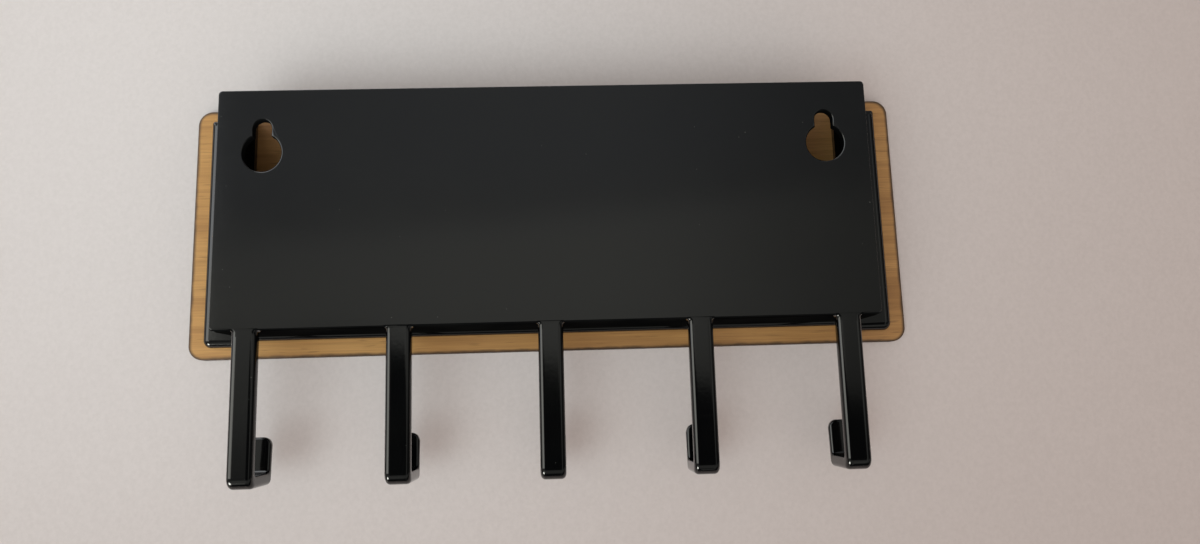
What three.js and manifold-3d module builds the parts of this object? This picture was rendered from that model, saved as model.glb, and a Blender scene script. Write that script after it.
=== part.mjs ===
// Wall rack for keys and letters: a black moulded body with five hooks and a wooden front panel.
// Millimetres, +Z up. The wall is the plane Y = 0, the rack stands out from it towards -Y,
// and the origin is the centre of the rear face. Left and right are as seen from the front.
import * as THREE from 'three';
import { mergeVertices } from 'three/addons/utils/BufferGeometryUtils.js';
import Module from 'manifold-3d';

const wasm = await Module();
wasm.setup();

// Back plate, which lies against the wall.
const PLATE_WIDTH = 170;
const PLATE_HEIGHT = 62.5;
const PLATE_THICKNESS = 2.6;
const PLATE_CORNER = 1.0;

// Keyholes: the round mouth takes a screw head, and the slot above it grips the shank.
const KEYHOLE_SPACING = 147;
const KEYHOLE_MOUTH_RADIUS = 5.0;
const KEYHOLE_SLOT_WIDTH = 4.8;
const KEYHOLE_MOUTH_Z = 14.45;
const KEYHOLE_SLOT_TOP_Z = 23.25;

// Letter pocket: two side walls, a floor, and the wings and lip that carry the front panel.
const WALL_THICKNESS = 2.0;
const BODY_DEPTH = 24.0;
const WING_THICKNESS = 2.0;
const WING_REACH = 10.6;
const WING_TOP_BELOW_PLATE = 1.0;
const WING_DROP = 2.6;
const WING_CORNER = 2.2;
const WING_EDGE_ROUND = 1.4;
const LIP_DROP = 1.0;

// Hooks: flat arms that carry on down from the back plate and turn forwards and up.
const HOOK_COUNT = 5;
const HOOK_PITCH = 38.2;
const HOOK_WIDTH = 6.4;
const HOOK_CORNER = 1.1;
const HOOK_DROP = 38.8;
const HOOK_BAR_THICKNESS = 3.0;
const HOOK_TIP_RISE = 12.1;
const HOOK_TIP_THICKNESS = 1.9;
const HOOK_MOUTH = 10.7;
const HOOK_LEAN = THREE.MathUtils.degToRad(4);
const HOOK_INNER_FILLET = 1.1;
const HOOK_REAR_FILLET = 3.0;
const HOOK_FRONT_FILLET = 1.5;
const HOOK_TIP_FILLET = 0.7;

// Wooden front panel, held on the wings by two strips of double-sided tape.
const PANEL_WIDTH = 200;
const PANEL_HEIGHT = 71;
const PANEL_THICKNESS = 3;
const PANEL_CENTRE_Z = -1.55;
const PANEL_CORNER = 4;
const TAPE_THICKNESS = 0.5;
const TAPE_WIDTH = 9;
const TAPE_LENGTH = 58;

// Straight steps that a round stretch is drawn with, and the reach of a cutting solid past its cut.
const QUARTER_STEPS = 5;
const KEYHOLE_MOUTH_STEPS = 24;
const KEYHOLE_SLOT_STEPS = 10;
const CUT_MARGIN = 1;
const MERGE_DISTANCE = 1e-4;

const halfPlate = PLATE_WIDTH / 2;
const plateTop = PLATE_HEIGHT / 2;
const plateBottom = -PLATE_HEIGHT / 2;
const wingRear = -(BODY_DEPTH - WING_THICKNESS);
const bodyFront = -BODY_DEPTH;
const pocketHalfWidth = halfPlate - WALL_THICKNESS;
const wingTop = plateTop - WING_TOP_BELOW_PLATE;
const wingBottom = plateBottom - WING_DROP;
const hookBottom = plateBottom - HOOK_DROP;
const hookBarTop = hookBottom + HOOK_BAR_THICKNESS;
const hookTipTop = hookBottom + HOOK_TIP_RISE;
const hookMouthFront = -PLATE_THICKNESS - HOOK_MOUTH;
const hookTipShift = Math.tan(HOOK_LEAN) * (hookTipTop - hookBarTop);
const hookFront = hookMouthFront - HOOK_TIP_THICKNESS - hookTipShift;

const blackPlastic = { color: 0x1b1b1c, roughness: 0.18, metalness: 0 };
const wood = { color: 0xa57a4c, roughness: 0.6, metalness: 0 };
const foamTape = { color: 0xdedbd2, roughness: 0.85, metalness: 0 };

// A closed outline whose corners are rounded: each corner is [x, y, radius].
function roundedOutline(corners) {
  const points = [];
  corners.forEach(([x, y, radius], i) => {
    const corner = new THREE.Vector2(x, y);
    if (radius === 0) {
      points.push(corner);
      return;
    }
    const before = corners[(i + corners.length - 1) % corners.length];
    const after = corners[(i + 1) % corners.length];
    const back = new THREE.Vector2(before[0], before[1]).sub(corner).normalize();
    const ahead = new THREE.Vector2(after[0], after[1]).sub(corner).normalize();
    const halfAngle = Math.acos(THREE.MathUtils.clamp(back.dot(ahead), -1, 1)) / 2;
    const tangent = radius / Math.tan(halfAngle);
    const start = corner.clone().addScaledVector(back, tangent);
    const end = corner.clone().addScaledVector(ahead, tangent);
    const middle = back.clone().add(ahead).normalize();
    const centre = corner.clone().addScaledVector(middle, radius / Math.sin(halfAngle));
    const from = start.clone().sub(centre).angle();
    const turn = end.clone().sub(centre).angle() - from;
    const sweep = Math.atan2(Math.sin(turn), Math.cos(turn));
    for (let step = 0; step <= QUARTER_STEPS; step += 1) {
      const angle = from + (sweep * step) / QUARTER_STEPS;
      points.push(new THREE.Vector2(
        centre.x + radius * Math.cos(angle),
        centre.y + radius * Math.sin(angle),
      ));
    }
  });
  return points;
}

// Extrudes an outline drawn in X and Z, from the plane Y = rear to the plane Y = front.
function slabAlongY(outline, rear, front) {
  const shape = new THREE.Shape(outline);
  const geometry = new THREE.ExtrudeGeometry(shape, { depth: rear - front, bevelEnabled: false });
  geometry.rotateX(Math.PI / 2);
  geometry.translate(0, rear, 0);
  return geometry;
}

// Extrudes an outline drawn in Y and Z, from X = left to X = right.
function slabAlongX(outline, left, right) {
  const shape = new THREE.Shape(outline);
  const geometry = new THREE.ExtrudeGeometry(shape, { depth: right - left, bevelEnabled: false });
  const turn = new THREE.Matrix4().set(0, 0, 1, left, 1, 0, 0, 0, 0, 1, 0, 0, 0, 0, 0, 1);
  geometry.applyMatrix4(turn);
  return geometry;
}

function toSolid(geometry) {
  const bare = geometry.clone();
  bare.deleteAttribute('normal');
  bare.deleteAttribute('uv');
  const merged = mergeVertices(bare, MERGE_DISTANCE);
  return new wasm.Manifold(new wasm.Mesh({
    numProp: 3,
    vertProperties: new Float32Array(merged.attributes.position.array),
    triVerts: new Uint32Array(merged.index.array),
  }));
}

function toGeometry(solid) {
  const mesh = solid.getMesh();
  const geometry = new THREE.BufferGeometry();
  const positions = new Float32Array(mesh.vertProperties);
  geometry.setAttribute('position', new THREE.BufferAttribute(positions, 3));
  geometry.setIndex(new THREE.BufferAttribute(new Uint32Array(mesh.triVerts), 1));
  geometry.computeVertexNormals();
  return geometry;
}

function rectangle(left, right, bottom, top, radii = [0, 0, 0, 0]) {
  return roundedOutline([
    [left, bottom, radii[0]],
    [right, bottom, radii[1]],
    [right, top, radii[2]],
    [left, top, radii[3]],
  ]);
}

// Round mouth below, narrow slot with a round end above, as one outline round x = centreX.
function keyholeOutline(centreX) {
  const slotHalf = KEYHOLE_SLOT_WIDTH / 2;
  const meet = Math.acos(slotHalf / KEYHOLE_MOUTH_RADIUS);
  const slotCentreZ = KEYHOLE_SLOT_TOP_Z - slotHalf;
  const points = [];
  for (let step = 0; step <= KEYHOLE_MOUTH_STEPS; step += 1) {
    const angle = Math.PI - meet + ((Math.PI + 2 * meet) * step) / KEYHOLE_MOUTH_STEPS;
    points.push(new THREE.Vector2(
      centreX + KEYHOLE_MOUTH_RADIUS * Math.cos(angle),
      KEYHOLE_MOUTH_Z + KEYHOLE_MOUTH_RADIUS * Math.sin(angle),
    ));
  }
  for (let step = 0; step <= KEYHOLE_SLOT_STEPS; step += 1) {
    const angle = (Math.PI * step) / KEYHOLE_SLOT_STEPS;
    points.push(new THREE.Vector2(
      centreX + slotHalf * Math.cos(angle),
      slotCentreZ + slotHalf * Math.sin(angle),
    ));
  }
  return points;
}

function backPlate() {
  const corners = Array(4).fill(PLATE_CORNER);
  const outline = rectangle(-halfPlate, halfPlate, plateBottom, plateTop, corners);
  const shape = new THREE.Shape(outline);
  [-1, 1].forEach((side) => {
    shape.holes.push(new THREE.Path(keyholeOutline((side * KEYHOLE_SPACING) / 2)));
  });
  const geometry = new THREE.ExtrudeGeometry(shape, { depth: PLATE_THICKNESS, bevelEnabled: false });
  geometry.rotateX(Math.PI / 2);
  return geometry;
}

// The hook's side profile in Y and Z. Its arm hangs from the plate's lower edge, in one plane with
// it, its bar runs forwards and its tip stands up from the bar and leans away from the wall.
function hookProfile() {
  const lowerShift = Math.tan(HOOK_LEAN) * HOOK_BAR_THICKNESS;
  return roundedOutline([
    [0, plateBottom, 0],
    [-PLATE_THICKNESS, plateBottom, 0],
    [-PLATE_THICKNESS, hookBarTop, HOOK_INNER_FILLET],
    [hookMouthFront, hookBarTop, HOOK_INNER_FILLET],
    [hookMouthFront - hookTipShift, hookTipTop, HOOK_TIP_FILLET],
    [hookFront, hookTipTop, HOOK_TIP_FILLET],
    [hookMouthFront - HOOK_TIP_THICKNESS + lowerShift, hookBottom, HOOK_FRONT_FILLET],
    [0, hookBottom, HOOK_REAR_FILLET],
  ]);
}

// One hook: its side profile, cut to the rounded outlines that its arm and tip have from behind.
function hook(centreX) {
  const left = centreX - HOOK_WIDTH / 2;
  const right = centreX + HOOK_WIDTH / 2;
  const round = HOOK_CORNER;
  const midMouth = (hookMouthFront - PLATE_THICKNESS) / 2;
  const armOutline = rectangle(left, right, hookBottom, plateBottom, [round, round, 0, 0]);
  const tipOutline = rectangle(left, right, hookBottom, hookTipTop, Array(4).fill(round));
  const armCut = toSolid(slabAlongY(armOutline, CUT_MARGIN, midMouth));
  const tipCut = toSolid(slabAlongY(tipOutline, midMouth, hookFront - CUT_MARGIN));
  const profile = toSolid(slabAlongX(hookProfile(), left, right));
  return toGeometry(profile.intersect(armCut.add(tipCut)));
}

// A side wall of the letter pocket. Its top edge falls slightly from the plate to the wing.
function sideWall(side) {
  const inner = side * pocketHalfWidth;
  const outer = side * halfPlate;
  const outline = [
    new THREE.Vector2(-PLATE_THICKNESS, plateBottom),
    new THREE.Vector2(-PLATE_THICKNESS, plateTop),
    new THREE.Vector2(wingRear, wingTop),
    new THREE.Vector2(wingRear, plateBottom),
  ];
  return slabAlongX(outline, Math.min(inner, outer), Math.max(inner, outer));
}

function pocketFloor() {
  const outline = rectangle(wingRear, -PLATE_THICKNESS, plateBottom, plateBottom + WALL_THICKNESS);
  return slabAlongX(outline, -pocketHalfWidth, pocketHalfWidth);
}

function lowerLip() {
  const bottom = plateBottom - LIP_DROP;
  const top = plateBottom + WALL_THICKNESS;
  const outline = rectangle(-pocketHalfWidth, pocketHalfWidth, bottom, top);
  return slabAlongY(outline, wingRear, bodyFront);
}

// Joins outlines of equal length, drawn in X and Z, into one closed body from rear to front.
function loftAlongY(outlines, depths) {
  const count = outlines[0].length;
  const positions = [];
  outlines.forEach((outline, ring) => {
    outline.forEach((point) => positions.push(point.x, depths[ring], point.y));
  });
  const index = [];
  for (let ring = 0; ring + 1 < outlines.length; ring += 1) {
    for (let i = 0; i < count; i += 1) {
      const rear = ring * count + i;
      const rearNext = ring * count + ((i + 1) % count);
      index.push(rear, rearNext, rearNext + count);
      index.push(rear, rearNext + count, rear + count);
    }
  }
  const last = (outlines.length - 1) * count;
  THREE.ShapeUtils.triangulateShape(outlines[0], []).forEach(([a, b, c]) => index.push(c, b, a));
  THREE.ShapeUtils.triangulateShape(outlines.at(-1), []).forEach(([a, b, c]) => {
    index.push(last + a, last + b, last + c);
  });
  const geometry = new THREE.BufferGeometry();
  geometry.setAttribute('position', new THREE.Float32BufferAttribute(positions, 3));
  geometry.setIndex(index);
  geometry.computeVertexNormals();
  return geometry;
}

// A wing: a flat ear with rounded outer corners. Its rear edge is rounded over outside and below.
function wing(side) {
  const inner = side * pocketHalfWidth;
  const outlines = [];
  const depths = [];
  for (let step = 0; step <= QUARTER_STEPS; step += 1) {
    const angle = (Math.PI / 2) * (step / QUARTER_STEPS);
    const setIn = WING_EDGE_ROUND * (1 - Math.sin(angle));
    const outer = side * (halfPlate + WING_REACH - setIn);
    const corner = WING_CORNER - setIn;
    const radii = side > 0 ? [0, corner, corner, 0] : [corner, 0, 0, corner];
    const [left, right] = side > 0 ? [inner, outer] : [outer, inner];
    outlines.push(rectangle(left, right, wingBottom + setIn, wingTop, radii));
    depths.push(wingRear - WING_EDGE_ROUND * (1 - Math.cos(angle)));
  }
  outlines.push(outlines.at(-1));
  depths.push(bodyFront);
  return loftAlongY(outlines, depths);
}

function tapeStrip(side) {
  const centreX = side * (halfPlate + WING_REACH / 2 - WALL_THICKNESS / 2);
  const outline = rectangle(
    centreX - TAPE_WIDTH / 2,
    centreX + TAPE_WIDTH / 2,
    PANEL_CENTRE_Z - TAPE_LENGTH / 2,
    PANEL_CENTRE_Z + TAPE_LENGTH / 2,
  );
  return slabAlongY(outline, bodyFront, bodyFront - TAPE_THICKNESS);
}

function frontPanel() {
  const rear = bodyFront - TAPE_THICKNESS;
  const outline = rectangle(
    -PANEL_WIDTH / 2,
    PANEL_WIDTH / 2,
    PANEL_CENTRE_Z - PANEL_HEIGHT / 2,
    PANEL_CENTRE_Z + PANEL_HEIGHT / 2,
    Array(4).fill(PANEL_CORNER),
  );
  return slabAlongY(outline, rear, rear - PANEL_THICKNESS);
}

const rack = new THREE.Group();

function addPiece(name, geometry, finish) {
  const mesh = new THREE.Mesh(geometry, new THREE.MeshStandardMaterial(finish));
  mesh.name = name;
  rack.add(mesh);
}

addPiece('back_plate', backPlate(), blackPlastic);
for (let index = 0; index < HOOK_COUNT; index += 1) {
  const centreX = (index - (HOOK_COUNT - 1) / 2) * HOOK_PITCH;
  addPiece(`hook_${index + 1}`, hook(centreX), blackPlastic);
}
[[-1, 'left'], [1, 'right']].forEach(([side, word]) => {
  addPiece(`${word}_side_wall`, sideWall(side), blackPlastic);
  addPiece(`${word}_wing`, wing(side), blackPlastic);
  addPiece(`${word}_panel_tape`, tapeStrip(side), foamTape);
});
addPiece('pocket_floor', pocketFloor(), blackPlastic);
addPiece('lower_lip', lowerLip(), blackPlastic);
addPiece('front_panel', frontPanel(), wood);

export default rack;
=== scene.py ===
import math

import bmesh
import bpy
from mathutils import Matrix, Vector


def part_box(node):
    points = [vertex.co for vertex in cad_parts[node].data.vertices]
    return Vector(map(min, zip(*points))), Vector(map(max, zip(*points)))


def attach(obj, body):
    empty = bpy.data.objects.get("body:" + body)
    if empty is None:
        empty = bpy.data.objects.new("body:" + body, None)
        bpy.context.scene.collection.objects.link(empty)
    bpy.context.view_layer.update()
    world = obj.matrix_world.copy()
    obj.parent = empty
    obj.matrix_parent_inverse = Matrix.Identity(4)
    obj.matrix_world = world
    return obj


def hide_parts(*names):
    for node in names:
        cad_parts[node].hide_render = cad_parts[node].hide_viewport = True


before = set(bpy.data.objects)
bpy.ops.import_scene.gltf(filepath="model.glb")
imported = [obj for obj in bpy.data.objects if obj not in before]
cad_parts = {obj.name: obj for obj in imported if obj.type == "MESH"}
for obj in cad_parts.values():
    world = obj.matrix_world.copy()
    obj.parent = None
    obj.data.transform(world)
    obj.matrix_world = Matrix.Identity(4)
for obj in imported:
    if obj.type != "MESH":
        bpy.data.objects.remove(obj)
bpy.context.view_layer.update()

MM = 0.001

# Sizes in mm that the CAD nodes' boxes don't give: roundings, corner radii, keyholes and hooks.
PLATE_CORNER = 1.0
PLATE_EDGE = 0.16
PLATE_LOWER_EDGE = 0.35
KEYHOLE_EDGE = 0.42
KEYHOLE_SPACING = 147.0
KEYHOLE_MOUTH_RADIUS = 5.0
KEYHOLE_SLOT_RADIUS = 2.4
KEYHOLE_MOUTH_Z = 14.45
KEYHOLE_SLOT_TOP_Z = 23.25
HOOK_COUNT = 5
HOOK_STUB = 1.6
HOOK_BAR = 3.0
HOOK_MOUTH = 10.7
HOOK_TIP_TOP = 12.1
HOOK_TIP_LEAN = math.radians(4.0)
HOOK_TIP_CORNER = 2.2
HOOK_TIP_SHAPED = 4.4
HOOK_TIP_END = 0.7
HOOK_TIP_EDGE = 0.7
HOOK_REAR_EDGE = 1.25
HOOK_FRONT_EDGE = 0.5
HOOK_BEND = 3.0
HOOK_INNER_BEND = 1.1
HOOK_FRONT_BEND = 1.5
HOOK_ROOT_FILLET = 0.5
WALL_EDGE = 0.22
LIP_EDGE = 1.5
WING_CORNER = 2.2
WING_EDGE = 1.92
WING_TOP_CORNER = 1.0
WING_TOP_EDGE = 0.3
WING_FRONT_EDGE = 0.2
TAPE_CORNER = 0.3
TAPE_EDGE = 0.08
PANEL_CORNER = 4.0
PANEL_EDGE = 0.12

# How finely roundings are divided.
EDGE_STEPS = 6
CORNER_STEPS = 10
PANEL_CORNER_STEPS = 16
MOUTH_STEPS = 40
SLOT_STEPS = 16
HOOK_TIP_ROWS = 6
HOOK_RINGS_BETWEEN = 9
SHARP_ANGLE = math.radians(42.0)

# Which faces have a second finish: how far a face's normal is turned, and, in mm, the top band and
# the ends of the plate, which stay glossy.
TURNED_IN = 0.8
TURNED_DOWN = -0.35
WALL_OF_HOLE = 0.4
CUT_EDGE = 0.7
PLATE_TOP_BAND = 2.0
PLATE_SIDE_X = 83.5

# Colours.
GLOSS_BLACK = ((0.0012, 0.0012, 0.0014, 1), (0.0022, 0.0022, 0.002, 1))
DUST = (0.05, 0.048, 0.04, 1)
MATT_BLACK = ((0.003, 0.003, 0.003, 1), (0.0055, 0.0053, 0.005, 1))
WOOD_LIGHT = (0.55, 0.275, 0.083, 1)
WOOD_MID = (0.39, 0.178, 0.048, 1)
WOOD_DARK = (0.225, 0.088, 0.022, 1)
WOOD_PORE = (0.09, 0.04, 0.016, 1)
SCORCH = (0.035, 0.016, 0.008, 1)
CUT_PLIES = ((0.028, 0.014, 0.008, 1), (0.085, 0.042, 0.02, 1))
CUT_LINES = (0.014, 0.008, 0.006, 1)
FOAM = ((0.1, 0.1, 0.1, 1), (0.32, 0.32, 0.31, 1))
TABLE = ((0.60, 0.498, 0.455, 1), (0.645, 0.54, 0.496, 1))
TABLE_PATCHES = (0.59, 0.488, 0.448, 1)
SKY = (1, 0.985, 0.97, 1)
WARM_TINT = (1.0, 1.0, 0.92, 1)
COOL_TINT = (0.97, 1.0, 1.02, 1)
SEEN_BACKGROUND = (0.76, 0.74, 0.73, 1)

# The surface under the rack, and how far the panel sinks into it, in metres.
TABLE_SIZE = 6.0
TABLE_SINK = 0.0004

# Directions that light comes from, and how strong the sky's is: overall, then the shares of it that
# come from everywhere, from its brightest directions and from below.
LAMP_FROM = (0.56, 0.4, -0.73)
SOFT_LIGHT_FROM = (0.0, 0.92, -0.38)
FRONT_LIGHT_FROM = (0.0, -1.0, 0.2)
LOW_LIGHT_FROM = (0.0, 0.35, -0.94)
SKY_STRENGTH = 0.59
SKY_FLOOR = 0.25
SKY_PEAK = 1.85
SKY_LOW = 1.3

# Bands of light in the reflected room: the angles, in radians, over which each one rises and falls,
# and its strength. The left one fades below these heights of the unit direction.
LEFT_GLOW = ((0.375, 0.48), (0.95, 1.45), 3.0)
LEFT_GLOW_FADE = (-0.2, -0.08)
RIGHT_GLOW = ((0.37, 0.42), (0.45, 0.75), 0.45)
LOW_GLOW = ((0.4, 0.6), (0.9, 1.2), 0.32)

# The reflected lamp: the cosines at which its core and its halo start and are full, and strength.
LAMP_CORE = (0.977, 0.989, 20.0)
LAMP_HALO = (0.955, 0.985, 1.1)

# Lamps: where they are and what they point at, in metres, then size, watts and colour.
SIDE_LIGHT = ((0.2, 0.3, -0.06), (0.1, -0.03, 0.11), 0.34, 0.33, (0.66, 0.9, 1.0))
SIDE_LIGHT_SPREAD = math.radians(75)
FRONT_FILL = ((-0.5, -1.2, 0.6), (0.0, 0.0, 0.0), 0.9, 5.0, (1.0, 0.98, 0.96))

# The camera: where it is from the plate's middle, rear face and lower edge, and its aim in degrees.
CAMERA_LENS = 26.44
CAMERA_SENSOR = 36.0
CAMERA_SHIFT = -0.0173
CAMERA_FROM_PLATE = (-0.00414, 0.22273, -0.01942)
CAMERA_AIM = (99.506, 1.691, 177.988)


def corner(u, v, radius=0.0, near=(0.0, 0.0), far=(0.0, 0.0), mitre=None):
    """One corner of an outline, in mm, with the edge rounding before and after it."""
    return {"at": Vector((u, v)), "radius": radius, "near": near, "far": far, "mitre": mitre}


def mix(pair, t):
    return pair[0] + (pair[1] - pair[0]) * t


def outline(corners, steps=CORNER_STEPS):
    """A closed loop of (point, way out of the material, near rounding, far rounding)."""
    loop = []
    count = len(corners)
    for i, c in enumerate(corners):
        before = (c["at"] - corners[i - 1]["at"]).normalized()
        after = (corners[(i + 1) % count]["at"] - c["at"]).normalized()
        out_before = Vector((before.y, -before.x))
        out_after = Vector((after.y, -after.x))
        if c["radius"] == 0:
            out = c["mitre"] or (out_before + out_after) / (1 + out_before.dot(out_after))
            loop.append((c["at"], Vector(out), mix(c["near"], 0.5), mix(c["far"], 0.5)))
            continue
        turn = math.atan2(before.cross(after), before.dot(after))
        sign = 1 if turn > 0 else -1
        start = c["at"] - before * c["radius"] * abs(math.tan(turn / 2))
        centre = start - out_before * c["radius"] * sign
        for s in range(steps + 1):
            t = s / steps
            out = out_before.copy()
            out.rotate(Matrix.Rotation(turn * t, 2))
            point = centre + out * c["radius"] * sign
            loop.append((point, out, mix(c["near"], t), mix(c["far"], t)))
    return loop


def ring_levels(steps, between):
    """(share inset, share deep from the near and far faces, share across) for each ring."""
    angles = [math.pi / 2 * k / steps for k in range(steps + 1)]
    rise = [(1 - math.sin(a), 1 - math.cos(a), 0.0) for a in angles]
    middle = [(0.0, 1.0, (k + 1) / (between + 1)) for k in range(between)]
    fall = [(1 - math.sin(a), 1 - math.cos(a), 1.0) for a in reversed(angles)]
    return rise + middle + fall


def add_loop(bm, loop, near, far, place, steps, between):
    """Rings of vertices through one loop from the near face to the far face, joined by quads."""
    way = 1 if far > near else -1
    rings = []
    for inset, deep, share in ring_levels(steps, between):
        ring = []
        for point, out, r_near, r_far in loop:
            p = point - out * mix((r_near, r_far), share) * inset
            start = near + way * r_near * deep
            end = far - way * r_far * deep
            ring.append(bm.verts.new(Vector(place(p.x, p.y, mix((start, end), share))) * MM))
        rings.append(ring)
    for a, b in zip(rings, rings[1:]):
        for i in range(len(a)):
            j = (i + 1) % len(a)
            bm.faces.new((a[i], a[j], b[j], b[i]))
    return rings[0], rings[-1]


def fill(bm, rings, normal):
    """A flat face bounded by the rings, the first outside and the rest as holes."""
    edges = []
    for ring in rings:
        for i in range(len(ring)):
            edges.append(bm.edges.get((ring[i], ring[(i + 1) % len(ring)])))
    bmesh.ops.triangle_fill(bm, edges=edges, use_beauty=True, normal=normal)


def finish_mesh(bm, name):
    """Turns the mesh into a smooth-shaded object with its hard edges kept."""
    bmesh.ops.remove_doubles(bm, verts=bm.verts, dist=1e-7)
    bmesh.ops.dissolve_degenerate(bm, edges=bm.edges, dist=1e-8)
    bmesh.ops.recalc_face_normals(bm, faces=bm.faces)
    for face in bm.faces:
        face.smooth = True
    for edge in bm.edges:
        if len(edge.link_faces) == 2:
            edge.smooth = edge.calc_face_angle(0) < SHARP_ANGLE
    mesh = bpy.data.meshes.new(name)
    bm.to_mesh(mesh)
    bm.free()
    obj = bpy.data.objects.new(name, mesh)
    bpy.context.scene.collection.objects.link(obj)
    weighted = obj.modifiers.new("weighted_normals", "WEIGHTED_NORMAL")
    weighted.keep_sharp = True
    return obj


def solid(name, loops, near, far, place, steps=EDGE_STEPS, between=0):
    """A slab between two flat faces, with its own rounding at each point of its outlines."""
    bm = bmesh.new()
    ends = [add_loop(bm, loop, near, far, place, steps, between) for loop in loops]
    axis = Vector(place(0, 0, 1)) - Vector(place(0, 0, 0))
    fill(bm, [near_ring for near_ring, far_ring in ends], axis)
    fill(bm, [far_ring for near_ring, far_ring in ends], axis)
    return finish_mesh(bm, name)


def along_y(u, v, w):
    return (u, w, v)


def box_mm(node):
    low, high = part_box(node)
    return low / MM, high / MM


def put(obj, material, node):
    """Gives a piece its material and finish slot, and hides the CAD node that it stands for."""
    obj.data.materials.append(material)
    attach(obj, "root")
    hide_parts(node)


def second_material(obj, material, chosen):
    """Gives the faces that the test picks a second material."""
    obj.data.materials.append(material)
    for polygon in obj.data.polygons:
        if chosen(polygon):
            polygon.material_index = 1


# ---------------------------------------------------------------- plate and hooks

PLATE_LOW, PLATE_HIGH = box_mm("back_plate")
HOOKS = [box_mm(f"hook_{i + 1}") for i in range(HOOK_COUNT)]
STUB_Z = PLATE_LOW.z - HOOK_STUB


def plate_outline():
    """The plate as seen from behind, with the first length of each hook's arm."""
    side = (PLATE_EDGE, PLATE_EDGE)
    sharp = (0.0, 0.0)
    low = PLATE_LOWER_EDGE
    left, right = PLATE_LOW.x, PLATE_HIGH.x
    corners = [corner(left, PLATE_LOW.z, PLATE_CORNER, (PLATE_EDGE, low), sharp)]
    for hook_low, hook_high in HOOKS:
        a, b = hook_low.x, hook_high.x
        rear, front = HOOK_REAR_EDGE, HOOK_FRONT_EDGE
        fillet = HOOK_ROOT_FILLET
        corners += [
            corner(a, PLATE_LOW.z, fillet, (low, rear), (0.0, front)),
            corner(a, STUB_Z, 0.0, (rear, rear), (front, front), (-1, 0)),
            corner(b, STUB_Z, 0.0, (rear, rear), (front, front), (1, 0)),
            corner(b, PLATE_LOW.z, fillet, (rear, low), (front, 0.0)),
        ]
    corners += [
        corner(right, PLATE_LOW.z, PLATE_CORNER, (low, PLATE_EDGE), sharp),
        corner(right, PLATE_HIGH.z, PLATE_CORNER, side, (0.0, PLATE_EDGE)),
        corner(left, PLATE_HIGH.z, PLATE_CORNER, side, (PLATE_EDGE, 0.0)),
    ]
    return outline(corners)


def keyhole_outline(x):
    """A keyhole, run clockwise so that its way out of the material is into the hole."""
    r, s = KEYHOLE_MOUTH_RADIUS, KEYHOLE_SLOT_RADIUS
    gap = math.asin(s / r)
    slot_z = KEYHOLE_SLOT_TOP_Z - s
    mouth = [math.pi / 2 - gap - (math.tau - 2 * gap) * k / MOUTH_STEPS for k in range(MOUTH_STEPS + 1)]
    slot = [math.pi - math.pi * k / SLOT_STEPS for k in range(SLOT_STEPS + 1)]
    loop = []
    for angles, z, radius in ((mouth, KEYHOLE_MOUTH_Z, r), (slot, slot_z, s)):
        for a in angles:
            out = Vector((-math.cos(a), -math.sin(a)))
            at = Vector((x, z)) - out * radius
            loop.append((at, out, KEYHOLE_EDGE, KEYHOLE_EDGE))
    return loop


def back_plate(material, inside):
    """The flat rear plate, with both keyholes and the roots of the five hooks."""
    middle = (PLATE_LOW.x + PLATE_HIGH.x) / 2
    holes = [keyhole_outline(middle + s * KEYHOLE_SPACING / 2) for s in (-1, 1)]
    obj = solid("back_plate_shell", [plate_outline(), *holes], PLATE_HIGH.y, PLATE_LOW.y, along_y)
    put(obj, material, "back_plate")
    edge_z = (PLATE_LOW.z - 0.05) * MM

    def unpolished(polygon):
        centre, normal = polygon.center, polygon.normal
        above = centre.z > edge_z
        in_hole = centre.z > 0 and abs(normal.y) < WALL_OF_HOLE
        at_top = centre.z > (PLATE_HIGH.z - PLATE_TOP_BAND) * MM
        outside = at_top or abs(centre.x) > PLATE_SIDE_X * MM
        turned = normal.y < -TURNED_IN or normal.z < TURNED_DOWN
        return above and (turned or (in_hole and not outside))

    second_material(obj, inside, unpolished)


def hook_outline(front, bottom, plate_depth):
    """A hook's side view, y across and z up, from its cut top round the bar and the tip."""
    bar_top = bottom + HOOK_BAR
    tip_top = bottom + HOOK_TIP_TOP
    lean = math.tan(HOOK_TIP_LEAN)
    tip_rear = -plate_depth - HOOK_MOUTH
    back = (HOOK_REAR_EDGE,) * 2
    inner = (HOOK_FRONT_EDGE,) * 2
    tip = (HOOK_TIP_EDGE,) * 2
    rows = [HOOK_TIP_SHAPED * (1 - k / HOOK_TIP_ROWS) for k in range(HOOK_TIP_ROWS)]
    rise = HOOK_TIP_TOP - HOOK_BAR
    corners = [
        corner(0.0, STUB_Z, 0.0, back, back, (1, 0)),
        corner(-plate_depth, STUB_Z, 0.0, inner, inner, (-1, 0)),
        corner(-plate_depth, bar_top, HOOK_INNER_BEND, inner, inner),
        corner(tip_rear, bar_top, HOOK_INNER_BEND, (HOOK_FRONT_EDGE, HOOK_TIP_EDGE), None),
        *(corner(tip_rear - lean * (rise - d), tip_top - d, 0.0, tip) for d in rows),
        corner(tip_rear - lean * rise, tip_top, HOOK_TIP_END, tip),
        corner(front, tip_top, HOOK_TIP_END, tip),
        *(corner(front + lean * d, tip_top - d, 0.0, tip) for d in reversed(rows)),
        corner(front + lean * HOOK_TIP_TOP, bottom, HOOK_FRONT_BEND, (HOOK_TIP_EDGE, HOOK_REAR_EDGE)),
        corner(0.0, bottom, HOOK_BEND, back),
    ]
    for c in corners:
        c["far"] = c["near"]
    return outline(corners)


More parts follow.
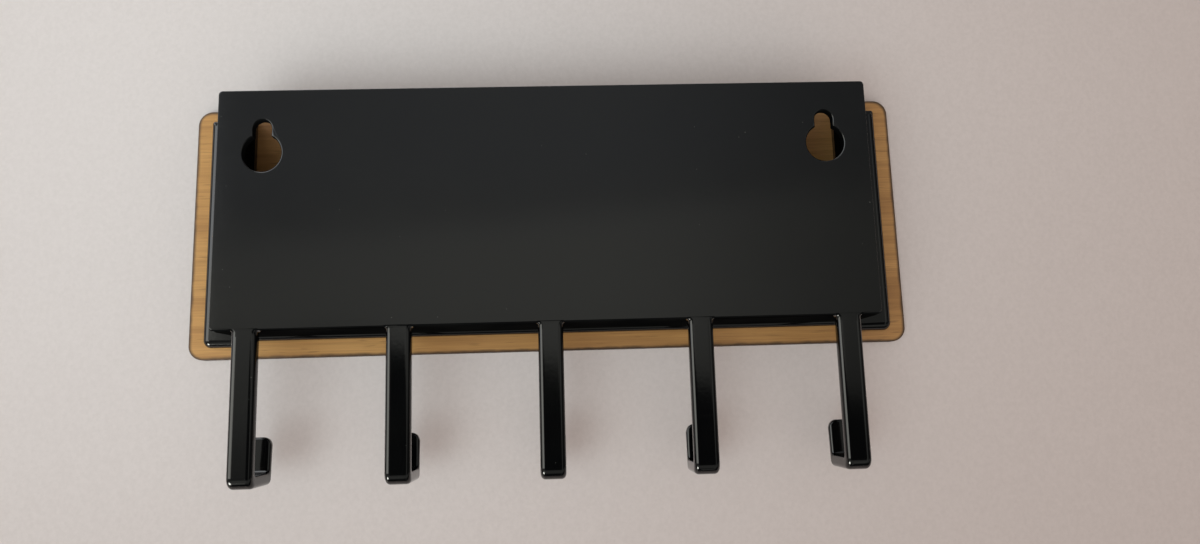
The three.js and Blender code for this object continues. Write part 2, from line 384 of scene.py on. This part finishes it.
def rounded_tip(x, z, half, top):
    """The height of a point of the tip, lowered towards its top corners to round them."""
    foot = top - HOOK_TIP_SHAPED
    over = abs(x) - (half - HOOK_TIP_CORNER)
    if z <= foot or over <= 0:
        return z
    drop = HOOK_TIP_CORNER - math.sqrt(max(0.0, HOOK_TIP_CORNER**2 - over**2))
    return foot + (z - foot) * (1 - min(drop, HOOK_TIP_CORNER * 0.8) / HOOK_TIP_SHAPED)


def hook(index, material):
    """One J-shaped hook below the cut that joins it to the plate."""
    low, high = HOOKS[index]
    depth = PLATE_HIGH.y - PLATE_LOW.y
    name = f"hook_{index + 1}"
    middle, half = (low.x + high.x) / 2, (high.x - low.x) / 2
    tip_top = low.z + HOOK_TIP_TOP

    def across(u, v, w):
        on_tip = u < -depth - HOOK_MOUTH * 0.7
        return (w, u, rounded_tip(w - middle, v, half, tip_top) if on_tip else v)

    loops = [hook_outline(low.y, low.z, depth)]
    obj = solid(f"{name}_moulded", loops, low.x, high.x, across, EDGE_STEPS, HOOK_RINGS_BETWEEN)
    put(obj, material, name)


# ---------------------------------------------------------------- tray, tape and panel


def side_wall(node, material, inside):
    """A side of the letter pocket: its top edge falls a little towards the wing."""
    low, high = box_mm(node)
    wing_top = box_mm("left_wing")[1].z
    edge = (WALL_EDGE, WALL_EDGE)
    corners = [
        corner(low.y, low.z, 0.0, edge, edge),
        corner(high.y, low.z, 0.0, edge, edge),
        corner(high.y, high.z, 0.0, edge, edge),
        corner(low.y, wing_top, 0.0, edge, edge),
    ]

    def across(u, v, w):
        return (w, u, v)

    obj = solid(f"{node}_moulded", [outline(corners)], low.x, high.x, across, 3)
    put(obj, material, node)
    inward = -1 if low.x > 0 else 1

    def unpolished(polygon):
        return polygon.normal.x * inward > TURNED_IN or polygon.normal.z < TURNED_DOWN

    second_material(obj, inside, unpolished)


def pocket_floor(material):
    """The flat bottom of the letter pocket."""
    low, high = box_mm("pocket_floor")
    corners = [
        corner(low.x, low.z),
        corner(high.x, low.z),
        corner(high.x, high.z),
        corner(low.x, high.z),
    ]
    obj = solid("pocket_floor_moulded", [outline(corners)], high.y, low.y, along_y, 2)
    put(obj, material, "pocket_floor")


def lower_lip(material):
    """The strip under the pocket floor that the panel is fixed to, rounded at its lower edge."""
    low, high = box_mm("lower_lip")
    round_low = (LIP_EDGE, LIP_EDGE)
    flat = (0.0, 0.0)
    corners = [
        corner(low.x, low.z, 0.0, round_low, flat, (0, -1)),
        corner(high.x, low.z, 0.0, round_low, flat, (0, -1)),
        corner(high.x, high.z),
        corner(low.x, high.z),
    ]
    obj = solid("lower_lip_moulded", [outline(corners)], high.y, low.y, along_y, 4)
    put(obj, material, "lower_lip")


def wing(node, material):
    """A flange beside the pocket, rounded on its outer and lower rear edges."""
    low, high = box_mm(node)
    edge = (WING_EDGE, WING_EDGE)
    top = (WING_TOP_EDGE, WING_TOP_EDGE)
    thin = (WING_FRONT_EDGE, WING_FRONT_EDGE)
    outer_right = high.x > 0
    inner = low.x if outer_right else high.x
    outer = high.x if outer_right else low.x
    corners = [
        corner(inner, low.z, 0.0, edge, thin, (0, -1)),
        corner(outer, low.z, WING_CORNER, edge, thin),
        corner(outer, high.z, WING_TOP_CORNER, (WING_EDGE, WING_TOP_EDGE), thin),
        corner(inner, high.z, 0.0, top, thin, (0, 1)),
    ]
    if not outer_right:
        corners.reverse()
        for c in corners:
            c["near"] = (c["near"][1], c["near"][0])
            c["far"] = (c["far"][1], c["far"][0])
    obj = solid(f"{node}_moulded", [outline(corners)], high.y, low.y, along_y)
    put(obj, material, node)


def even_corners(low, high, radius, rounding):
    """The four corners of a rectangle whose edges are all rounded alike."""
    edge = (rounding, rounding)
    places = ((low.x, low.z), (high.x, low.z), (high.x, high.z), (low.x, high.z))
    return [corner(x, z, radius, edge, edge) for x, z in places]


def tape_strip(node, material):
    """A strip of foam tape between a flange and the panel."""
    low, high = box_mm(node)
    loop = outline(even_corners(low, high, TAPE_CORNER, TAPE_EDGE))
    obj = solid(f"{node}_foam", [loop], high.y, low.y, along_y, 3)
    put(obj, material, node)


def front_panel(face_material, edge_material):
    """The wooden panel: plain faces and a scorched cut edge."""
    low, high = box_mm("front_panel")
    loop = outline(even_corners(low, high, PANEL_CORNER, PANEL_EDGE), PANEL_CORNER_STEPS)
    obj = solid("front_panel_wood", [loop], high.y, low.y, along_y, 3)
    put(obj, face_material, "front_panel")
    second_material(obj, edge_material, lambda polygon: abs(polygon.normal.y) < CUT_EDGE)


# ---------------------------------------------------------------- materials


def add(tree, kind, inputs=None, **settings):
    """One node, with its settings and its inputs set or linked."""
    node = tree.nodes.new(kind)
    for key, value in settings.items():
        setattr(node, key, value)
    for key, value in (inputs or {}).items():
        if isinstance(value, bpy.types.NodeSocket):
            tree.links.new(value, node.inputs[key])
        else:
            node.inputs[key].default_value = value
    return node


def new_material(name):
    material = bpy.data.materials.new(name)
    material.use_nodes = True
    tree = material.node_tree
    tree.nodes.clear()
    output = tree.nodes.new("ShaderNodeOutputMaterial")
    shader = tree.nodes.new("ShaderNodeBsdfPrincipled")
    tree.links.new(shader.outputs[0], output.inputs[0])
    return material, tree, shader


def scaled(tree, scale, move=(0, 0, 0)):
    """Object coordinates stretched by a scale per axis, in cycles per metre."""
    coords = add(tree, "ShaderNodeTexCoord")
    inputs = {"Vector": coords.outputs["Object"], "Scale": scale, "Location": move}
    return add(tree, "ShaderNodeMapping", inputs).outputs[0]


def noise(tree, scale, detail=3.0, rough=0.5, distortion=0.0):
    inputs = {
        "Vector": scaled(tree, scale),
        "Scale": 1.0,
        "Detail": detail,
        "Roughness": rough,
        "Distortion": distortion,
    }
    return add(tree, "ShaderNodeTexNoise", inputs).outputs["Fac"]


def remap(tree, value, low, high, to_low=0.0, to_high=1.0, smooth=False):
    inputs = {
        "Value": value,
        "From Min": low,
        "From Max": high,
        "To Min": to_low,
        "To Max": to_high,
    }
    kind = "SMOOTHSTEP" if smooth else "LINEAR"
    return add(tree, "ShaderNodeMapRange", inputs, interpolation_type=kind).outputs[0]


def maths(tree, operation, a, b):
    return add(tree, "ShaderNodeMath", {0: a, 1: b}, operation=operation).outputs[0]


def blend(tree, factor, a, b):
    """A mix of two colours."""
    node = add(tree, "ShaderNodeMix", data_type="RGBA")
    for index, value in ((0, factor), (6, a), (7, b)):
        if isinstance(value, bpy.types.NodeSocket):
            tree.links.new(value, node.inputs[index])
        else:
            node.inputs[index].default_value = value
    return node.outputs[2]


def bump(tree, height, distance, strength=1.0, under=None):
    inputs = {"Height": height, "Distance": distance, "Strength": strength}
    if under is not None:
        inputs["Normal"] = under
    return add(tree, "ShaderNodeBump", inputs).outputs[0]


def specks(tree, cells, size, share, move=(0, 0, 0)):
    """Scattered dots: 1 inside a dot. Only a share of the cells has one."""
    inputs = {"Vector": scaled(tree, (cells,) * 3, move), "Scale": 1.0}
    voronoi = add(tree, "ShaderNodeTexVoronoi", inputs)
    near = remap(tree, voronoi.outputs["Distance"], size, size * 0.5)
    split = add(tree, "ShaderNodeSeparateColor", {0: voronoi.outputs["Color"]})
    chosen = maths(tree, "LESS_THAN", split.outputs[0], share)
    return maths(tree, "MULTIPLY", near, chosen)


def link(tree, shader, **sockets):
    names = {"colour": "Base Color", "rough": "Roughness", "normal": "Normal"}
    for key, socket in sockets.items():
        tree.links.new(socket, shader.inputs[names[key]])


def plastic_material():
    """Black gloss moulded plastic: faint waviness, fine scuffs and a few dust specks."""
    material, tree, shader = new_material("black_gloss_plastic")
    dust = specks(tree, 190.0, 0.05, 0.1)
    lint = specks(tree, 520.0, 0.075, 0.05, (0.31, 0.12, 0.77))
    marks = maths(tree, "MAXIMUM", dust, lint)
    haze = noise(tree, (34.0, 34.0, 34.0), 4.0, 0.6)
    base = blend(tree, remap(tree, haze, 0.35, 0.75), *GLOSS_BLACK)
    colour = blend(tree, marks, base, DUST)
    scuffs = noise(tree, (90.0, 700.0, 2600.0), 2.0, 0.5)
    smooth = remap(tree, haze, 0.3, 0.7, 0.055, 0.1)
    scuffed = remap(tree, scuffs, 0.62, 0.8, 0.0, 0.07)
    rough = maths(tree, "ADD", smooth, scuffed)
    wave = bump(tree, noise(tree, (26.0, 26.0, 26.0), 1.0), 0.0003, 0.3)
    peel = bump(tree, noise(tree, (900.0, 900.0, 900.0), 2.0), 0.00001, 0.35, wave)
    link(tree, shader, colour=colour, rough=rough, normal=peel)
    shader.inputs["IOR"].default_value = 1.5
    return material


def inside_material():
    """The unpolished inside of the tray, and the underside of its floor."""
    material, tree, shader = new_material("black_matt_plastic")
    grain = noise(tree, (1500.0,) * 3, 2.0)
    haze = noise(tree, (60.0,) * 3, 3.0)
    base = blend(tree, remap(tree, haze, 0.35, 0.7), *MATT_BLACK)
    rough = remap(tree, grain, 0.3, 0.7, 0.5, 0.66)
    link(tree, shader, colour=base, rough=rough, normal=bump(tree, grain, 0.00003, 0.5))
    shader.inputs["Specular IOR Level"].default_value = 0.0
    return material


def rim_distance(tree, half, radius, centre):
    """The distance from a rounded rectangle's outline, in metres, negative inside it."""
    coords = add(tree, "ShaderNodeTexCoord").outputs["Object"]
    moved = add(tree, "ShaderNodeVectorMath", {0: coords, 1: centre}, operation="SUBTRACT")
    size = add(tree, "ShaderNodeVectorMath", {0: moved.outputs[0]}, operation="ABSOLUTE")
    inner = (half[0] - radius, 1.0, half[1] - radius)
    q = add(tree, "ShaderNodeVectorMath", {0: size.outputs[0], 1: inner}, operation="SUBTRACT")
    zero = {0: q.outputs[0], 1: (0.0, 0.0, 0.0)}
    positive = add(tree, "ShaderNodeVectorMath", zero, operation="MAXIMUM")
    outside = add(tree, "ShaderNodeVectorMath", {0: positive.outputs[0]}, operation="LENGTH")
    split = add(tree, "ShaderNodeSeparateXYZ", {0: q.outputs[0]})
    longest = maths(tree, "MAXIMUM", split.outputs[0], split.outputs[2])
    inside = maths(tree, "MINIMUM", longest, 0.0)
    total = maths(tree, "ADD", outside.outputs["Value"], inside)
    return maths(tree, "SUBTRACT", total, radius)


def wood_grain(tree):
    """Colour and height of a veneer whose grain runs along x."""
    figure = noise(tree, (5.0, 30.0, 62.0), 3.0, 0.55, 1.2)
    streaks = noise(tree, (14.0, 200.0, 620.0), 4.0, 0.6, 0.4)
    fibres = noise(tree, (60.0, 900.0, 2600.0), 2.0, 0.6)
    pores = remap(tree, noise(tree, (110.0, 900.0, 1700.0), 1.0), 0.64, 0.72)
    body = blend(tree, remap(tree, figure, 0.32, 0.7, smooth=True), WOOD_LIGHT, WOOD_MID)
    streaked = blend(tree, remap(tree, streaks, 0.45, 0.7, 0.0, 0.55), body, WOOD_DARK)
    grained = blend(tree, remap(tree, fibres, 0.3, 0.72, 0.0, 0.4), streaked, WOOD_DARK)
    pored = blend(tree, maths(tree, "MULTIPLY", pores, 0.4), grained, WOOD_PORE)
    height = maths(tree, "SUBTRACT", fibres, maths(tree, "MULTIPLY", pores, 0.7))
    return pored, height


def wood_material():
    """Stained veneer with pores, scorched dark along the cut outline."""
    low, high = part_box("front_panel")
    material, tree, shader = new_material("stained_wood_face")
    half = ((high.x - low.x) / 2, (high.z - low.z) / 2)
    centre = (low + high) / 2
    rim = rim_distance(tree, half, PANEL_CORNER * MM, (centre.x, 0.0, centre.z))
    wander = noise(tree, (240.0, 240.0, 240.0), 3.0)
    reach = maths(tree, "ADD", rim, remap(tree, wander, 0.2, 0.8, -0.00025, 0.00025))
    scorch = remap(tree, reach, -0.0011, -0.00015, smooth=True)
    colour, height = wood_grain(tree)
    tinted = blend(tree, maths(tree, "MULTIPLY", scorch, 0.9), colour, SCORCH)
    rough = remap(tree, height, 0.1, 0.8, 0.62, 0.46)
    normal = bump(tree, height, 0.00005, 0.5)
    link(tree, shader, colour=tinted, rough=rough, normal=normal)
    return material


def cut_edge_material():
    """The laser-cut edge: scorched plies with fine cut lines across them."""
    material, tree, shader = new_material("scorched_cut_edge")
    plies = noise(tree, (9.0, 950.0, 9.0), 1.0, 0.5, 0.3)
    lines = noise(tree, (1500.0, 60.0, 1500.0), 2.0)
    ply = blend(tree, remap(tree, plies, 0.42, 0.58), *CUT_PLIES)
    colour = blend(tree, remap(tree, lines, 0.45, 0.75, 0.0, 0.6), ply, CUT_LINES)
    rough = remap(tree, lines, 0.3, 0.7, 0.85, 0.6)
    normal = bump(tree, lines, 0.00006, 0.6)
    link(tree, shader, colour=colour, rough=rough, normal=normal)
    return material


def foam_material():
    """Closed-cell foam tape."""
    material, tree, shader = new_material("foam_tape_grey")
    inputs = {"Vector": scaled(tree, (2600.0,) * 3), "Scale": 1.0}
    cells = add(tree, "ShaderNodeTexVoronoi", inputs).outputs["Distance"]
    colour = blend(tree, remap(tree, cells, 0.1, 0.6), *FOAM)
    rough = remap(tree, cells, 0.0, 0.6, 0.95, 0.75)
    link(tree, shader, colour=colour, rough=rough, normal=bump(tree, cells, 0.00008, 0.7))
    return material


def table_material():
    """A pale, finely mottled surface that can't be seen from behind."""
    material, tree, shader = new_material("pale_surface")
    mottle = noise(tree, (900.0, 900.0, 900.0), 3.0, 0.6)
    broad = noise(tree, (9.0, 9.0, 9.0), 2.0)
    pale = blend(tree, remap(tree, mottle, 0.3, 0.7), *TABLE)
    colour = blend(tree, remap(tree, broad, 0.3, 0.7, 0.0, 0.25), pale, TABLE_PATCHES)
    rough = remap(tree, mottle, 0.3, 0.7, 0.6, 0.75)
    link(tree, shader, colour=colour, rough=rough, normal=bump(tree, mottle, 0.00006, 0.5))
    shader.inputs["Specular IOR Level"].default_value = 0.12
    clear = tree.nodes.new("ShaderNodeBsdfTransparent")
    facing = add(tree, "ShaderNodeNewGeometry").outputs["Backfacing"]
    both = tree.nodes.new("ShaderNodeMixShader")
    tree.links.new(facing, both.inputs[0])
    tree.links.new(shader.outputs[0], both.inputs[1])
    tree.links.new(clear.outputs[0], both.inputs[2])
    output = next(n for n in tree.nodes if n.type == "OUTPUT_MATERIAL")
    tree.links.new(both.outputs[0], output.inputs[0])
    return material


# ---------------------------------------------------------------- stage, light and camera


def stage_plane(y):
    """The surface that the rack lies against, panel down, upright in this frame."""
    size = TABLE_SIZE
    mesh = bpy.data.meshes.new("surface")
    corners = [(-size, y, -size), (-size, y, size), (size, y, size), (size, y, -size)]
    mesh.from_pydata(corners, [], [(0, 1, 2, 3)])
    obj = bpy.data.objects.new("surface", mesh)
    bpy.context.scene.collection.objects.link(obj)
    mesh.materials.append(table_material())


def area_light(name, at, target, size, power, colour):
    """A square lamp that lights the rack and isn't seen itself."""
    data = bpy.data.lights.new(name, "AREA")
    data.energy = power
    data.color = colour
    data.size = size
    obj = bpy.data.objects.new(name, data)
    obj.location = Vector(at)
    aim = Vector(target) - Vector(at)
    obj.rotation_euler = aim.to_track_quat("-Z", "Y").to_euler()
    obj.visible_camera = False
    bpy.context.scene.collection.objects.link(obj)
    return obj


def smooth_step(tree, value, low, high, to_low=0.0, to_high=1.0):
    return remap(tree, value, low, high, to_low, to_high, smooth=True)


def mixed_shader(tree, factor, first, second):
    node = tree.nodes.new("ShaderNodeMixShader")
    tree.links.new(factor, node.inputs[0])
    tree.links.new(first.outputs[0], node.inputs[1])
    tree.links.new(second.outputs[0], node.inputs[2])
    return node


def side_glow(tree, angle, rise, fall, strength):
    """A soft vertical band of light between two angles from straight behind the rack."""
    up = smooth_step(tree, angle, rise[0], rise[1])
    down = smooth_step(tree, angle, fall[0], fall[1], 1.0, 0.0)
    return maths(tree, "MULTIPLY", maths(tree, "MULTIPLY", up, down), strength)


def room_sides(tree, x, y, z):
    """Bands of light to the left and the right of the rack's back, and one below it."""
    angle = maths(tree, "ARCTAN2", x, y)
    beside = side_glow(tree, angle, *LEFT_GLOW)
    left = maths(tree, "MULTIPLY", beside, smooth_step(tree, z, *LEFT_GLOW_FADE))
    right = side_glow(tree, maths(tree, "MULTIPLY", angle, -1.0), *RIGHT_GLOW)
    down = maths(tree, "MULTIPLY", maths(tree, "ARCTAN2", z, y), -1.0)
    low = side_glow(tree, down, *LOW_GLOW)
    return maths(tree, "MAXIMUM", maths(tree, "MAXIMUM", left, right), low)


def room_front(tree, across, rise, slant):
    """What faces the plate: a band of light, with someone dark in front of its lower part.

    Across and rise are slopes from the line straight behind the rack.
    """
    band = smooth_step(tree, slant, 0.19, 0.235, 0.66, 0.48)
    edge = maths(tree, "SUBTRACT", rise, maths(tree, "MULTIPLY", across, 0.13))
    above = smooth_step(tree, edge, 0.02, 0.05)
    beside = smooth_step(tree, across, 0.26, 0.32)
    clear = maths(tree, "MAXIMUM", above, beside)
    shade_right = smooth_step(tree, across, -0.42, -0.02, 0.42, 1.0)
    shade_left = smooth_step(tree, across, 0.1, 0.42, 1.0, 0.85)
    shade_low = smooth_step(tree, rise, -0.1, 0.12, 0.3, 1.0)
    shade = maths(tree, "MULTIPLY", maths(tree, "MULTIPLY", shade_right, shade_left), shade_low)
    return maths(tree, "MULTIPLY", maths(tree, "MULTIPLY", band, clear), shade)


def room_reflection(tree):
    """Colour and strength of the room that the gloss mirrors, by direction."""
    direction = add(tree, "ShaderNodeTexCoord").outputs["Generated"]
    split = add(tree, "ShaderNodeSeparateXYZ", {0: direction})
    x, y, z = split.outputs[0], split.outputs[1], split.outputs[2]
    ahead = maths(tree, "MAXIMUM", y, 0.02)
    across = maths(tree, "DIVIDE", x, ahead)
    rise = maths(tree, "DIVIDE", z, ahead)
    slant = maths(tree, "ADD", rise, maths(tree, "MULTIPLY", across, 0.07))
    core = lit_disc(tree, direction, LAMP_FROM, *LAMP_CORE)
    halo = lit_disc(tree, direction, LAMP_FROM, *LAMP_HALO)
    lamp = maths(tree, "ADD", core, halo)
    in_front = smooth_step(tree, y, 0.2, 0.75)
    facing = maths(tree, "MULTIPLY", room_front(tree, across, rise, slant), in_front)
    total = maths(tree, "ADD", room_sides(tree, x, y, z), facing)
    behind = smooth_step(tree, y, -0.1, 0.05, 0.6, 0.015)
    strength = maths(tree, "ADD", maths(tree, "ADD", total, behind), lamp)
    cool = smooth_step(tree, slant, 0.15, 0.3)
    return blend(tree, cool, WARM_TINT, COOL_TINT), strength


def lit_disc(tree, direction, towards, start, full, strength):
    """A soft-edged round patch of light in one direction."""
    inputs = {0: direction, 1: Vector(towards).normalized()}
    near = add(tree, "ShaderNodeVectorMath", inputs, operation="DOT_PRODUCT").outputs["Value"]
    return smooth_step(tree, near, start, full, 0.0, strength)


def even_light(tree, strength):
    """Strength of the sky for matt surfaces: most from behind the rack, in front of it and below."""
    direction = add(tree, "ShaderNodeTexCoord").outputs["Generated"]
    main = lit_lobe(tree, direction, SOFT_LIGHT_FROM, 2.0)
    front = lit_lobe(tree, direction, FRONT_LIGHT_FROM, 2.0)
    low = lit_lobe(tree, direction, LOW_LIGHT_FROM, 4.0)
    lit = maths(tree, "MAXIMUM", main, front)
    broad = remap(tree, lit, 0.0, 1.0, strength * SKY_FLOOR, strength * SKY_PEAK)
    return maths(tree, "ADD", broad, maths(tree, "MULTIPLY", low, strength * SKY_LOW))


def lit_lobe(tree, direction, towards, power):
    """A broad lobe of light: a power of the cosine from one direction."""
    inputs = {0: direction, 1: Vector(towards).normalized()}
    near = add(tree, "ShaderNodeVectorMath", inputs, operation="DOT_PRODUCT").outputs["Value"]
    return maths(tree, "POWER", maths(tree, "MAXIMUM", near, 0.0), power)


def world_light(strength):
    """The sky for matt surfaces, the room for mirror reflections, and a plain colour for the camera."""
    world = bpy.data.worlds.new("room")
    world.use_nodes = True
    tree = world.node_tree
    tree.nodes.clear()
    output = tree.nodes.new("ShaderNodeOutputWorld")
    soft = {"Color": SKY, "Strength": even_light(tree, strength)}
    even = add(tree, "ShaderNodeBackground", soft)
    tint, bright = room_reflection(tree)
    room_inputs = {"Color": tint, "Strength": bright}
    room = add(tree, "ShaderNodeBackground", room_inputs)
    plain = add(tree, "ShaderNodeBackground", {"Color": SEEN_BACKGROUND, "Strength": 1.0})
    path = add(tree, "ShaderNodeLightPath")
    mirrored = mixed_shader(tree, path.outputs["Is Glossy Ray"], even, room)
    seen = mixed_shader(tree, path.outputs["Is Camera Ray"], mirrored, plain)
    tree.links.new(seen.outputs[0], output.inputs[0])
    bpy.context.scene.world = world


def camera(low, high):
    """Behind and a little below the rack, looking straight at its back."""
    data = bpy.data.cameras.new("camera")
    data.sensor_width = CAMERA_SENSOR
    data.lens = CAMERA_LENS
    data.shift_y = CAMERA_SHIFT
    data.clip_start = 0.01
    data.clip_end = 20.0
    obj = bpy.data.objects.new("camera", data)
    across, behind, below = CAMERA_FROM_PLATE
    middle = (low.x + high.x) / 2
    obj.location = (middle + across, high.y + behind, low.z + below)
    obj.rotation_euler = [math.radians(a) for a in CAMERA_AIM]
    bpy.context.scene.collection.objects.link(obj)
    bpy.context.scene.camera = obj


def build():
    """All the pieces of the rack."""
    plastic = plastic_material()
    inside = inside_material()
    back_plate(plastic, inside)
    for index in range(HOOK_COUNT):
        hook(index, plastic)
    for node in ("left_side_wall", "right_side_wall"):
        side_wall(node, plastic, inside)
    pocket_floor(inside)
    lower_lip(plastic)
    for node in ("left_wing", "right_wing"):
        wing(node, plastic)
    foam = foam_material()
    for node in ("left_panel_tape", "right_panel_tape"):
        tape_strip(node, foam)
    front_panel(wood_material(), cut_edge_material())


def surroundings():
    """The table, the lights, the sky and the camera."""
    panel_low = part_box("front_panel")[0]
    stage_plane(panel_low.y + TABLE_SINK)
    side = area_light("side_glow", *SIDE_LIGHT)
    side.data.spread = SIDE_LIGHT_SPREAD
    side.visible_glossy = False
    area_light("front_fill", *FRONT_FILL)
    world_light(SKY_STRENGTH)
    plate_low, plate_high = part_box("back_plate")
    camera(plate_low, plate_high)
    bpy.context.scene.view_settings.view_transform = "Standard"


build()
surroundings()
